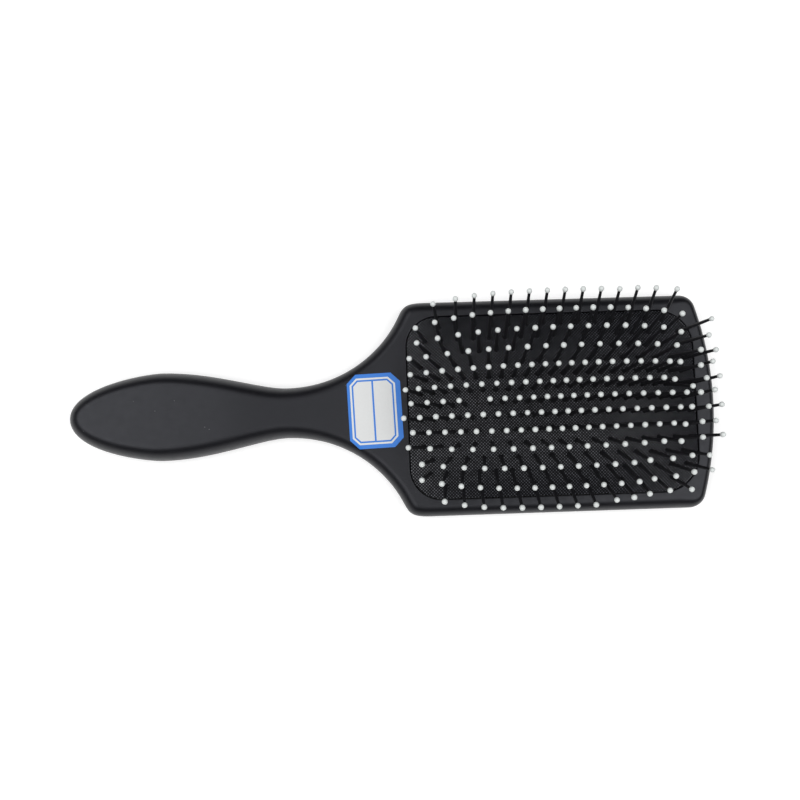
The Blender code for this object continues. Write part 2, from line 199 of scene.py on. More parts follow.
# Tones that the materials add to their own colours: real dust, a painted highlight for the rubber's ridges,
# painted shade for the vent's slits, and the frame's random tones.
DUST = (0.22, 0.22, 0.22, 1.0)
# Painted highlight on the crossing ridges of the rubber's knurl.
RIDGE_HIGHLIGHT_TONE = (0.137, 0.142, 0.165, 1.0)
# Painted shade standing in for the dark inside the vent's slits.
VENT_SHADE_TONE = (0.0005, 0.0005, 0.0005, 1.0)
FRAME_COLOUR = (0.08, 0.08, 0.085)
FRAME_DARK = (0.07, 0.07, 0.074, 1.0)
FRAME_PALE = (0.09, 0.09, 0.095, 1.0)

# Studio. The softboxes are in metres: middle, then size.
FLOOR_HALF = 3000.0
FLOOR_Z = -0.05
SOFTBOXES = {
    "softbox_handle": ((-0.60, 0.0, 0.85), (0.75, 1.2)),
    "softbox_head": ((0.42, -0.20, 0.85), (0.75, 1.0)),
}
WORLD_COLOUR = (0.006, 0.006, 0.007, 1.0)
CAMERA_EYE = (-69.3, -33.0, 411.3)
CAMERA_TARGET = (-58.9, 3.28, FACE_Z)
CAMERA_UP = (0.0338, 0.9994, 0.0)
SENSOR_WIDTH = 36.0


# ------------------------------------------------------------------ settings


def length_setting(name, description, millimetres):
    return FloatProperty(
        name=name, description=description, default=millimetres * MM, unit="LENGTH", precision=5
    )


class BodySettings(bpy.types.PropertyGroup):
    edge_round: length_setting("Edge round", "Width of the rounded outer edge", 4.6)
    wall: length_setting("Wall", "Wall thickness of both shells", 2.0)
    mouth_round: length_setting("Mouth round", "Radius of the cushion opening's edge", 0.35)
    colour: FloatVectorProperty(
        name="Colour", description="Soft-touch coating", default=(0.0055, 0.0055, 0.0071), subtype="COLOR"
    )
    roughness: FloatProperty(
        name="Roughness", description="Roughness of the coating", default=0.42, subtype="FACTOR"
    )


class CushionSettings(bpy.types.PropertyGroup):
    knurl_pitch: length_setting("Knurl pitch", "Spacing of the crossed ridges", 0.85)
    knurl_depth: length_setting("Knurl depth", "Depth of the pits between ridges", 0.2)
    skirt_z: length_setting("Skirt foot", "Height of the cushion's underside", 9.3)
    colour: FloatVectorProperty(
        name="Colour", description="Black rubber", default=(0.0075, 0.0075, 0.0100), subtype="COLOR"
    )


class PinSettings(bpy.types.PropertyGroup):
    length: length_setting("Length", "From the rubber to the middle of the bead", 17.8)
    root_radius: length_setting("Root radius", "Pin radius above the rubber", 0.8)
    tip_radius: length_setting("Tip radius", "Pin radius below the bead", 0.55)
    bead_radius: length_setting("Bead radius", "Radius of the resin bead", 1.08)
    sides: IntProperty(name="Sides", description="Sides of a pin", default=10, min=6, max=24)
    shaft_colour: FloatVectorProperty(
        name="Shaft colour", description="Black nylon", default=(0.011, 0.011, 0.013), subtype="COLOR"
    )
    bead_colour: FloatVectorProperty(
        name="Bead colour", description="Pale resin", default=(0.67, 0.70, 0.69), subtype="COLOR"
    )


class LabelSettings(bpy.types.PropertyGroup):
    width: length_setting("Width", "Along the handle", 20.6)
    height: length_setting("Height", "Across the handle", 28.8)
    chamfer: length_setting("Chamfer", "Cut of each corner", 3.5)
    thickness: length_setting("Thickness", "Paper thickness", 0.15)
    turn: FloatProperty(
        name="Turn", description="Angle to the handle", default=math.radians(1.85), subtype="ANGLE"
    )
    ink: FloatVectorProperty(
        name="Ink", description="Blue border", default=(0.020, 0.175, 0.62), subtype="COLOR"
    )


class StudioSettings(bpy.types.PropertyGroup):
    floor_colour: FloatVectorProperty(
        name="Floor", description="Pale floor", default=(0.72, 0.72, 0.72), subtype="COLOR"
    )
    floor_glow: FloatProperty(name="Floor glow", description="Light given off by the floor", default=0.45)
    softbox_radiance: FloatProperty(name="Softbox", description="Brightness of the softboxes", default=3.25)
    lens: FloatProperty(name="Lens", description="Focal length in millimetres", default=46.8)


# ------------------------------------------------------------------ outlines and heights


def smooth_step(value, start, end):
    t = min(max((value - start) / (end - start), 0.0), 1.0)
    return t * t * (3.0 - 2.0 * t)


def arc(centre, radius, start, end, steps):
    """Points along one arc, without its last point."""
    angles = [start + (end - start) * i / steps for i in range(steps)]
    return [centre + radius * Vector((math.cos(a), math.sin(a))) for a in angles]


def half_outline():
    """The +Y half of the body's outline, from the butt of the handle to the end of the head."""
    butt = Vector((BUTT_X, 0.0))
    head = Vector((HEAD_START_X, HEAD_HALF_WIDTH))
    along = Vector((1.0, 0.0))
    across = Vector((0.0, 1.0))
    slope = Vector((math.cos(SHOULDER_ANGLE), math.sin(SHOULDER_ANGLE)))
    stretches = (
        (butt, butt + BUTT_PULL * across, GRIP - GRIP_PULLS[0] * along, GRIP),
        (GRIP, GRIP + GRIP_PULLS[1] * along, NECK - NECK_PULLS[0] * along, NECK),
        (NECK, NECK + NECK_PULLS[1] * along, SHOULDER - SHOULDER_PULLS[0] * slope, SHOULDER),
        (SHOULDER, SHOULDER + SHOULDER_PULLS[1] * slope, head - HEAD_PULL * along, head),
    )
    points = []
    for stretch in stretches:
        points += interpolate_bezier(*stretch, CURVE_STEPS + 1)[:-1]
    end_centre = Vector((HEAD_END_X - HEAD_END_RADIUS, 0.0))
    corner_y = HEAD_HALF_WIDTH - HEAD_CORNER_RADIUS
    reach = HEAD_END_RADIUS - HEAD_CORNER_RADIUS
    corner = Vector((end_centre.x + math.sqrt(reach**2 - corner_y**2), corner_y))
    turn = math.atan2(corner_y, corner.x - end_centre.x)
    straight = Vector((corner.x, HEAD_HALF_WIDTH))
    points += [head.lerp(straight, i / END_STEPS) for i in range(END_STEPS)]
    points += arc(corner, HEAD_CORNER_RADIUS, math.pi / 2, turn, CORNER_STEPS)
    points += arc(end_centre, HEAD_END_RADIUS, turn, 0.0, END_STEPS)
    points.append(Vector((HEAD_END_X, 0.0)))
    return [Vector((p.x, p.y)) for p in points]


def body_outline():
    half = half_outline()
    return half + [Vector((p.x, -p.y)) for p in half[-2:0:-1]]


def inset(points, amount):
    """Move a clockwise closed outline inwards, more along the handle and less at the head's end."""
    moved = []
    for i, point in enumerate(points):
        run = (points[(i + 1) % len(points)] - points[i - 1]).normalized()
        moved.append(point + amount * edge_widening(point.x) * Vector((run.y, -run.x)))
    return moved


def rounded_rectangle(half_length, half_width, back_corner, end_corner):
    """A closed outline, clockwise, whose corners at the handle side and at the end differ."""
    points = []
    corners = ((1, 1, end_corner), (1, -1, end_corner), (-1, -1, back_corner), (-1, 1, back_corner))
    for i, (side_x, side_y, radius) in enumerate(corners):
        centre = Vector((side_x * (half_length - radius), side_y * (half_width - radius)))
        start = math.pi / 2 * (1 - i)
        stop = start - math.pi / 2
        points += arc(centre, radius, start, stop, CORNER_STEPS)
        points.append(centre + radius * Vector((math.cos(stop), math.sin(stop))))
    return points


def opening_outline(inwards):
    return rounded_rectangle(
        OPENING_HALF_LENGTH - inwards,
        OPENING_HALF_WIDTH - inwards,
        NECK_SIDE_CORNER - inwards,
        END_SIDE_CORNER - inwards,
    )


def grip_rise(x):
    return GRIP_RISE * smooth_step(-x, -GRIP_RISE_FROM_X, -GRIP_RISE_TO_X)


def neck_hollow(x):
    return NECK_HOLLOW * (1.0 - smooth_step(abs(x - NECK.x) / NECK_HOLLOW_REACH, 0.0, 1.0))


def crown(x, y):
    """Height of the cushion's surface."""
    along = 1.0 - min(abs(x) / PAD_HALF_LENGTH, 1.0) ** CROWN_POWER_X
    across = 1.0 - min(abs(y) / PAD_HALF_WIDTH, 1.0) ** CROWN_POWER_Y
    return PAD_EDGE_Z + PAD_CROWN * along * across


def crown_normal(x, y):
    step = 0.01
    slope_x = (crown(x + step, y) - crown(x - step, y)) / (2 * step)
    slope_y = (crown(x, y + step) - crown(x, y - step)) / (2 * step)
    return Vector((-slope_x, -slope_y, 1.0)).normalized()


def edge_widening(x):
    """The rounded edge is wider along the handle than round the head, and narrow at the head's end."""
    wider = HANDLE_EDGE_WIDER * smooth_step(-x, *HANDLE_EDGE_SPAN)
    narrower = END_EDGE_NARROWER * smooth_step(x, *END_EDGE_SPAN)
    return 1.0 + wider - narrower


def edge_share(inwards):
    """Share of the rise reached at a fraction of the edge's width; its start at the flat face is soft."""
    return math.sqrt(max(1.0 - (1.0 - min(inwards, 1.0)) ** EDGE_POWER, 0.0))


def body_surface(x, y, outline, edge_round):
    """Height of the front of the body, on its flat face or its rounded edge."""
    here = Vector((x, y))
    distance = min((here - point).length for point in outline)
    share = edge_share(distance / (edge_round * edge_widening(x)))
    return PARTING_Z + (FACE_Z + grip_rise(x) - PARTING_Z) * share


# ------------------------------------------------------------------ mesh helpers


def finish_mesh(name, bm, materials, sharp=BODY_SHARP):
    """Scale a mesh to metres and put it in an object at the origin."""
    bmesh.ops.scale(bm, verts=bm.verts, vec=(MM, MM, MM))
    mesh = bpy.data.meshes.new(name)
    bm.to_mesh(mesh)
    bm.free()
    for material in materials:
        mesh.materials.append(material)
    mesh.shade_smooth()
    mesh.set_sharp_from_angle(angle=sharp)
    obj = bpy.data.objects.new(name, mesh)
    bpy.context.scene.collection.objects.link(obj)
    return obj


def edge_loop(bm, points, z):
    verts = [bm.verts.new((p.x, p.y, z)) for p in points]
    return verts, [bm.edges.new((verts[i - 1], verts[i])) for i in range(len(verts))]


def cut_across(bm, axis, places):
    """Cut the whole mesh by planes square to one axis."""
    normal = Vector((1.0, 0.0, 0.0)) if axis == "x" else Vector((0.0, 1.0, 0.0))
    for place in places:
        geometry = bm.verts[:] + bm.edges[:] + bm.faces[:]
        bmesh.ops.bisect_plane(bm, geom=geometry, plane_co=place * normal, plane_no=normal)


def trim_to(bm, outline):
    """Keep what lies inside a convex clockwise outline."""
    for i, point in enumerate(outline):
        run = (outline[(i + 1) % len(outline)] - point).normalized()
        geometry = bm.verts[:] + bm.edges[:] + bm.faces[:]
        bmesh.ops.bisect_plane(
            bm, geom=geometry, plane_co=(*point, 0.0), plane_no=(-run.y, run.x, 0.0), clear_outer=True
        )


def turned(profile, sides):
    """A solid turned about Z from (radius, height) points that start and end on the axis."""
    bm = bmesh.new()
    verts = [bm.verts.new((radius, 0.0, height)) for radius, height in profile]
    edges = [bm.edges.new(pair) for pair in zip(verts, verts[1:])]
    bmesh.ops.spin(
        bm, geom=verts + edges, cent=(0, 0, 0), axis=(0, 0, 1), angle=2 * math.pi, steps=sides, use_merge=True
    )
    bmesh.ops.remove_doubles(bm, verts=bm.verts, dist=0.0001)
    bmesh.ops.recalc_face_normals(bm, faces=bm.faces)
    mesh = bpy.data.meshes.new("turned")
    bm.to_mesh(mesh)
    bm.free()
    return mesh


# ------------------------------------------------------------------ materials


class Surface:
    """A Principled material with short calls for the nodes that the finishes share."""

    def __init__(self, name, colour, roughness, **constants):
        self.material = bpy.data.materials.new(name)
        self.material.use_nodes = True
        self.tree = self.material.node_tree
        self.shader = self.tree.nodes["Principled BSDF"]
        self.set(self.shader, {"Base Color": (*colour, 1.0), "Roughness": roughness})
        self.set(self.shader, {key.replace("_", " "): value for key, value in constants.items()})
        self.place = self.node("ShaderNodeTexCoord").outputs["Object"]

    def set(self, node, inputs):
        for key, value in inputs.items():
            if isinstance(value, bpy.types.NodeSocket):
                self.tree.links.new(value, node.inputs[key])
            else:
                node.inputs[key].default_value = value

    def node(self, kind, inputs=None, **attributes):
        node = self.tree.nodes.new(kind)
        for key, value in attributes.items():
            setattr(node, key, value)
        self.set(node, inputs or {})
        return node

    def noise(self, scale, detail=2.0, roughness=0.5):
        inputs = {"Vector": self.place, "Scale": scale, "Detail": detail, "Roughness": roughness}
        return self.node("ShaderNodeTexNoise", inputs).outputs["Fac"]

    def maths(self, operation, first, second=0.0):
        return self.node("ShaderNodeMath", {0: first, 1: second}, operation=operation).outputs[0]

    def span(self, value, from_low, from_high, to_low, to_high):
        inputs = {
            "Value": value, "From Min": from_low, "From Max": from_high, "To Min": to_low, "To Max": to_high
        }
        return self.node("ShaderNodeMapRange", inputs).outputs["Result"]

    def blend(self, factor, first, second):
        node = self.node("ShaderNodeMix", data_type="RGBA")
        for key, value in {"Factor": factor, "A": first, "B": second}.items():
            socket = next(s for s in node.inputs if s.name == key and s.enabled)
            if isinstance(value, bpy.types.NodeSocket):
                self.tree.links.new(value, socket)
            else:
                socket.default_value = value
        return next(s for s in node.outputs if s.enabled)

    def bump(self, height, distance):
        inputs = {"Height": height, "Distance": distance, "Strength": 1.0}
        return self.node("ShaderNodeBump", inputs).outputs["Normal"]

    def finish(self, **inputs):
        self.set(self.shader, {key.replace("_", " "): value for key, value in inputs.items()})
        return self.material


def shade(colour, factor):
    return (*(min(channel * factor, 1.0) for channel in colour), 1.0)


def coating_material(settings):
    """Soft-touch coating: a fine grain, slow cloudy variation and a few pale specks of dust."""
    surface = Surface(
        "soft_touch_coating",
        settings.colour,
        settings.roughness,
        Specular_IOR_Level=0.33,
        Specular_Tint=(0.90, 0.92, 1.0, 1.0),
    )
    cloud = surface.span(surface.noise(55.0, 3.0), 0.3, 0.7, 0.0, 1.0)
    tone = surface.blend(cloud, shade(settings.colour, 0.88), shade(settings.colour, 1.12))
    speck = surface.span(surface.noise(1100.0, 0.0), 0.89, 0.92, 0.0, 0.35)
    tone = surface.blend(speck, tone, DUST)
    grain = surface.noise(3300.0, 3.0, 0.6)
    rough = settings.roughness
    gloss = surface.span(surface.noise(420.0, 4.0), 0.25, 0.75, rough - 0.04, rough + 0.04)
    normal = surface.bump(grain, 0.00001)
    return surface.finish(Base_Color=tone, Roughness=gloss, Normal=normal)


def vent_shade_mask(surface):
    """One where the two crossed slits of the vent lie; the rubber there is painted dark as the shade inside
    the slits.
    """
    joint = next(joint for joint in ROW_JOINTS if joint["child"] == f"pin_row_{VENT_ROW:02d}")
    steps = VENT_PLACE - (PIN_COUNTS[VENT_ROW - 1] - 1) / 2
    along = Vector(joint["axis"]).normalized()
    centre = Vector(joint["pos_m"]) + steps * PIN_PITCHES[VENT_ROW - 1] * MM * along
    offset = surface.node("ShaderNodeVectorMath", {0: surface.place, 1: centre}, operation="SUBTRACT")
    axes = surface.node("ShaderNodeSeparateXYZ", {"Vector": offset.outputs[0]})
    reach = [surface.maths("ABSOLUTE", axes.outputs[name]) for name in ("X", "Y")]
    slits = []
    for across, along in (reach, reversed(reach)):
        narrow = surface.maths("LESS_THAN", across, VENT_SLIT_HALF_WIDTH * MM)
        short = surface.maths("LESS_THAN", along, VENT_SLIT_REACH * MM)
        slits.append(surface.maths("MULTIPLY", narrow, short))
    return surface.maths("MAXIMUM", *slits)


def rubber_material(settings):
    """Black rubber with a painted highlight where its crossed ridges meet and painted shade in the pits
    between them.
    """
    surface = Surface("cushion_rubber", settings.colour, 0.5)
    turn = surface.node(
        "ShaderNodeMapping", {"Vector": surface.place, "Rotation": (0.0, 0.0, math.radians(-45.0))}
    )
    axes = surface.node("ShaderNodeSeparateXYZ", {"Vector": turn.outputs["Vector"]})
    waves = []
    for name in ("X", "Y"):
        phase = surface.maths("MULTIPLY", axes.outputs[name], 2 * math.pi / settings.knurl_pitch)
        waves.append(surface.span(surface.maths("COSINE", phase), -1.0, 1.0, 0.0, 1.0))
    # Peaks where the knurl's ridges cross, where the rubber is painted paler as a highlight.
    ridge_crossings = surface.maths("POWER", surface.maths("MULTIPLY", *waves), 1.6)
    patch = surface.span(surface.noise(900.0, 1.0), 0.35, 0.65, 0.45, 1.0)
    amount = surface.maths("MULTIPLY", ridge_crossings, patch)
    # Painted shade darkens the pits and a painted highlight lightens the ridge crossings.
    tone = surface.blend(amount, shade(settings.colour, 0.35), RIDGE_HIGHLIGHT_TONE)
    # Painted shade in the vent's slits, where the rubber is open.
    tone = surface.blend(vent_shade_mask(surface), tone, VENT_SHADE_TONE)
    gloss = surface.span(ridge_crossings, 0.0, 1.0, 0.60, 0.36)
    shine = surface.span(amount, 0.0, 1.0, 0.10, 0.70)
    normal = surface.bump(surface.noise(5200.0, 2.0), 0.000008)
    return surface.finish(Base_Color=tone, Roughness=gloss, Specular_IOR_Level=shine, Normal=normal)


def nylon_material(settings):
    colour = settings.shaft_colour
    surface = Surface("pin_nylon", colour, 0.38)
    tone = surface.blend(surface.noise(900.0), shade(colour, 0.8), shade(colour, 1.3))
    gloss = surface.span(surface.noise(2500.0, 3.0), 0.3, 0.7, 0.32, 0.46)
    normal = surface.bump(surface.noise(4000.0), 0.000006)
    return surface.finish(Base_Color=tone, Roughness=gloss, Normal=normal)


def bead_material(settings):
    """Dipped resin: milky, a little uneven in tone."""
    colour = settings.bead_colour
    surface = Surface(
        "bead_resin",
        colour,
        0.36,
        Subsurface_Weight=0.25,
        Subsurface_Scale=0.0006,
        Subsurface_Radius=(1.0, 1.0, 1.0),
    )
    tone = surface.blend(surface.noise(650.0, 2.0), shade(colour, 0.93), shade(colour, 1.05))
    normal = surface.bump(surface.noise(1500.0, 2.0), 0.00002)
    return surface.finish(Base_Color=tone, Normal=normal)


def paper_material(name, colour, roughness):
    """Label paper: fine fibres and a slightly mottled tone."""
    surface = Surface(name, colour, roughness)
    fibre = surface.node(
        "ShaderNodeMapping", {"Vector": surface.place, "Scale": (2600.0, 700.0, 900.0)}
    ).outputs["Vector"]
    fibres = surface.node("ShaderNodeTexNoise", {"Vector": fibre, "Scale": 1.0, "Detail": 4.0}).outputs["Fac"]
    mottle = surface.span(surface.noise(1600.0, 3.0), 0.3, 0.7, 0.0, 1.0)
    tone = surface.blend(mottle, shade(colour, 0.985), shade(colour, 1.015))
    normal = surface.bump(fibres, 0.000005)
    return surface.finish(Base_Color=tone, Normal=normal)


def frame_material():
    surface = Surface("frame_plastic", FRAME_COLOUR, 0.5)
    tone = surface.blend(surface.noise(300.0, 3.0), FRAME_DARK, FRAME_PALE)
    normal = surface.bump(surface.noise(3000.0, 2.0), 0.00001)
    return surface.finish(Base_Color=tone, Normal=normal)


# ------------------------------------------------------------------ shells


def rounded_edge(flat_z, edge_round):
    """Levels from the flat face to the parting line: inset, height, share of the rise."""
    parting = PARTING_Z + math.copysign(GAP / 2, flat_z - PARTING_Z)
    levels = [(edge_round + FLAT_MARGIN, flat_z, 1.0)]
    for i in range(EDGE_STEPS + 1):
        inwards = 1.0 - math.sin(math.pi / 2 * i / EDGE_STEPS)
        share = edge_share(inwards)
        levels.append((edge_round * inwards, parting + (flat_z - parting) * share, share))
    return levels


def fill_flat(bm, outer, hole):
    """Triangles between an outer loop and a convex clockwise hole in it."""
    verts = outer + hole
    edges = []
    for first, count in ((0, len(outer)), (len(outer), len(hole))):
        edges += [(first + (i - 1) % count, first + i) for i in range(count)]
    _, _, faces, sources, _, _ = delaunay_2d_cdt([vert.co.xy for vert in verts], edges, [], 1, 0.0001)
    sides = [(hole[i - 1].co.xy, hole[i].co.xy) for i in range(len(hole))]
    for face in faces:
        corners = [verts[sources[i][0]] for i in face]
        centre = sum((vert.co.xy for vert in corners), Vector((0.0, 0.0))) / len(corners)
        if not sides or any((end - start).cross(centre - start) > 0.0 for start, end in sides):
            bm.faces.new(corners)


def shell_mesh(levels, rise, mouth=()):
    """A tray closed by flat faces; levels and mouth list (inset, height, share) for its wall and opening."""
    bm = bmesh.new()
    share_layer = bm.verts.layers.float.new("share")

    def loops(rows, outline_at):
        made = []
        for inwards, z, share in rows:
            verts, edges = edge_loop(bm, outline_at(inwards), z)
            for vert in verts:
                vert[share_layer] = share
            if made:
                bmesh.ops.bridge_loops(bm, edges=made[-1][1] + edges)
            made.append((verts, edges))
        return made

    outline = body_outline()
    rims = loops(levels, lambda inwards: inset(outline, inwards))
    mouths = loops(mouth, opening_outline) or [([], [])]
    fill_flat(bm, rims[0][0], mouths[0][0])
    fill_flat(bm, rims[-1][0], mouths[-1][0])
    count = int((GRIP_RISE_FROM_X - BUTT_X) / STATION_STEP)
    cut_across(bm, "x", [BUTT_X + FIRST_STATION + i * STATION_STEP for i in range(count)])
    for vert in bm.verts:
        vert.co.z += vert[share_layer] * rise(vert.co.x)
    bmesh.ops.remove_doubles(bm, verts=bm.verts, dist=MERGE_WITHIN)
    bmesh.ops.recalc_face_normals(bm, faces=bm.faces)
    return bm


class BRUSH_OT_body_front(bpy.types.Operator):
    """Front shell with its rounded edge, rebate and the mouth that holds the cushion"""

    bl_idname = "brush.body_front"
    bl_label = "Front Shell"

    def execute(self, context):
        settings = context.scene.brush_body
        wall = settings.wall / MM
        lip = settings.mouth_round / MM
        parting = PARTING_Z + GAP / 2
        rebate = PARTING_Z + TONGUE_HEIGHT + GAP
        levels = rounded_edge(FACE_Z, settings.edge_round / MM)
        levels += [
            (REBATE_INSET, parting, 0.0),
            (REBATE_INSET, rebate, 0.0),
            (wall, rebate, 0.0),
            (wall + INNER_CORNER, FACE_Z - wall, 1.0),
        ]
        mouth = [(-lip - FLAT_MARGIN, FACE_Z, 1.0)]
        for angle in (90, 60, 30, 0):
            turn = math.radians(angle)
            mouth.append((-lip * (1.0 - math.cos(turn)), FACE_Z - lip * (1.0 - math.sin(turn)), 1.0))
        mouth.append((0.0, FACE_Z - wall, 1.0))
        bm = shell_mesh(levels, grip_rise, mouth)
        piece = finish_mesh("body_front", bm, [coating_material(settings)])
        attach(piece, "brush_body")
        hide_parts("front_shell")
        return {"FINISHED"}


class BRUSH_OT_body_back(bpy.types.Operator):
    """Back shell with its rounded edge, the tongue at the parting line and the hollow behind the neck"""

    bl_idname = "brush.body_back"
    bl_label = "Back Shell"

    def execute(self, context):
        settings = context.scene.brush_body
        wall = settings.wall / MM
        parting = PARTING_Z - GAP / 2
        tongue = PARTING_Z + TONGUE_HEIGHT
        levels = rounded_edge(0.0, settings.edge_round / MM)
        levels += [
            (TONGUE_INSET, parting, 0.0),
            (TONGUE_INSET, tongue, 0.0),
            (wall, tongue, 0.0),
            (wall + INNER_CORNER, wall, 1.0),
        ]
        bm = shell_mesh(levels, neck_hollow)
        piece = finish_mesh("body_back", bm, [bpy.data.materials["soft_touch_coating"]])
        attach(piece, "brush_body")
        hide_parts("back_shell")
        return {"FINISHED"}


# ------------------------------------------------------------------ cushion and frame


def knurled_cushion(pitch, depth, foot):
    """A closed rubber cushion: pits between crossed ridges on the crown, and a plain skirt."""
    bm = bmesh.new()
    reach = (PAD_HALF_LENGTH + PAD_HALF_WIDTH) / math.sqrt(2.0)
    cells = 2 * math.ceil(reach / pitch)
    bmesh.ops.create_grid(bm, x_segments=cells, y_segments=cells, size=cells * pitch / 2)
    turn = Matrix.Rotation(math.radians(45.0), 3, "Z")
    bmesh.ops.rotate(bm, verts=bm.verts, cent=(0, 0, 0), matrix=turn)
    trim_to(bm, opening_outline(GAP))
    bmesh.ops.dissolve_degenerate(bm, edges=bm.edges, dist=0.02)
    whole = [face for face in bm.faces if len(face.verts) == 4 and face.calc_area() > 0.98 * pitch**2]
    for face in bm.faces:
        if face.normal.z < 0.0:
            face.normal_flip()
    bmesh.ops.poke(bm, faces=whole, offset=-depth, center_mode="MEAN", use_relative_offset=False)
    for vert in bm.verts:
        vert.co.z += crown(vert.co.x, vert.co.y)
    rim = [edge for edge in bm.edges if len(edge.link_faces) == 1]
    skirt = bmesh.ops.extrude_edge_only(bm, edges=rim)["geom"]
    for item in skirt:
        if isinstance(item, bmesh.types.BMVert):
            item.co.z = foot
    foot_edges = [item for item in skirt if isinstance(item, bmesh.types.BMEdge)]
    bmesh.ops.holes_fill(bm, edges=foot_edges, sides=0)
    bmesh.ops.triangulate(bm, faces=[face for face in bm.faces if len(face.verts) > 4])
    bmesh.ops.recalc_face_normals(bm, faces=bm.faces)
    return bm


class BRUSH_OT_cushion(bpy.types.Operator):
    """Domed rubber cushion with its fine diamond knurl"""

    bl_idname = "brush.cushion"
    bl_label = "Cushion"

    def execute(self, context):
        settings = context.scene.brush_cushion
        bm = knurled_cushion(settings.knurl_pitch / MM, settings.knurl_depth / MM, settings.skirt_z / MM)
        piece = finish_mesh("rubber_cushion", bm, [rubber_material(settings)], RUBBER_SHARP)
        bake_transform(piece)
        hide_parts("cushion_pad")
        return {"FINISHED"}


class BRUSH_OT_frame(bpy.types.Operator):
    """Finish of the frame that clamps the cushion's flange, which keeps its own shape"""

    bl_idname = "brush.frame"
    bl_label = "Retaining Frame"

    def execute(self, context):
        ring = frame["nodes"]["pad_retaining_frame"]
        ring.data.materials.clear()
        ring.data.materials.append(frame_material())
        return {"FINISHED"}


# ------------------------------------------------------------------ pins


def pins_of(row, joint):
    """The root and the direction of each pin in one row. A straight pin stands square to the rubber."""
    middle = Vector(joint["pos_m"]) / MM
    along = Vector(joint["axis"]).normalized()
    pins = []
    count = PIN_COUNTS[row - 1]
    for place in range(count):
        if (row, place) == (VENT_ROW, VENT_PLACE):
            continue
        x, y, _ = middle + (place - (count - 1) / 2) * PIN_PITCHES[row - 1] * along
        lean_x, lean_y = BENT_PINS.get((row, place), (0, 0))
        if row == 1:
            lean_y += FIRST_ROW_LEAN
        bend = Vector((math.tan(math.radians(lean_x)), math.tan(math.radians(lean_y)), 0.0))
        pins.append((Vector((x, y, crown(x, y))), (crown_normal(x, y) + bend).normalized()))
    return pins


def copies(master, matrices):
    """A mesh of several copies of one shape."""
    bm = bmesh.new()
    for matrix in matrices:
        first = len(bm.verts)
        bm.from_mesh(master)
        bm.verts.ensure_lookup_table()
        bmesh.ops.transform(bm, matrix=matrix, verts=bm.verts[first:])
    return bm


def shaft_profile(settings):
    root = settings.root_radius / MM
    tip = settings.tip_radius / MM
    top = settings.length / MM - PIN_TIP_SUNK
    return [
        (0.0, -PIN_FOOT_DEPTH),
        (PIN_FOOT_FLARE * root, -PIN_FOOT_DEPTH),
        (PIN_COLLAR_FLARE * root, 0.0),
        (root, PIN_COLLAR_HEIGHT),
        (tip, top),
        (0.0, top),
    ]


def bead_profile(settings):
    radius = settings.bead_radius / MM
    profile = []
    for i in range(BEAD_STEPS + 1):
        angle = math.pi * (i / BEAD_STEPS - 0.5)
        stretch = BEAD_NECK_STRETCH if angle < 0.0 else 1.0
        profile.append((radius * math.cos(angle), radius * math.sin(angle) * stretch))
    return profile


class BRUSH_OT_pins(bpy.types.Operator):
    """Thirteen rows of nylon pins, each with a dipped resin bead on its tip"""

    bl_idname = "brush.pins"
    bl_label = "Pins"

    def execute(self, context):
        settings = context.scene.brush_pins
        shaft = turned(shaft_profile(settings), settings.sides)
        bead = turned(bead_profile(settings), settings.sides)
        nylon = nylon_material(settings)
        resin = bead_material(settings)
        chance = random.Random(BEAD_SEED)
        for joint in ROW_JOINTS:
            body = joint["child"]
            row = int(body[-2:])
            stands = []
            tops = []
            for root, direction in pins_of(row, joint):
                turn = direction.to_track_quat("Z", "Y").to_matrix().to_4x4()
                stands.append(Matrix.Translation(root) @ turn)
                size = chance.uniform(*BEAD_SIZES)
                long = chance.uniform(*BEAD_LENGTHS)
                top = Matrix.Translation(root + settings.length / MM * direction)
                spin = Matrix.Rotation(chance.uniform(0.0, 2 * math.pi), 4, "Z")
                tops.append(top @ turn @ spin @ Matrix.Diagonal((size, size, size * long, 1.0)))
            shafts = finish_mesh(f"pins_{row:02d}", copies(shaft, stands), [nylon], PIN_SHARP)
            beads = finish_mesh(f"beads_{row:02d}", copies(bead, tops), [resin], PIN_SHARP)
            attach(shafts, body)
            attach(beads, body)
            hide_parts(body)
        bpy.data.meshes.remove(shaft)
        bpy.data.meshes.remove(bead)
        return {"FINISHED"}


# ------------------------------------------------------------------ label


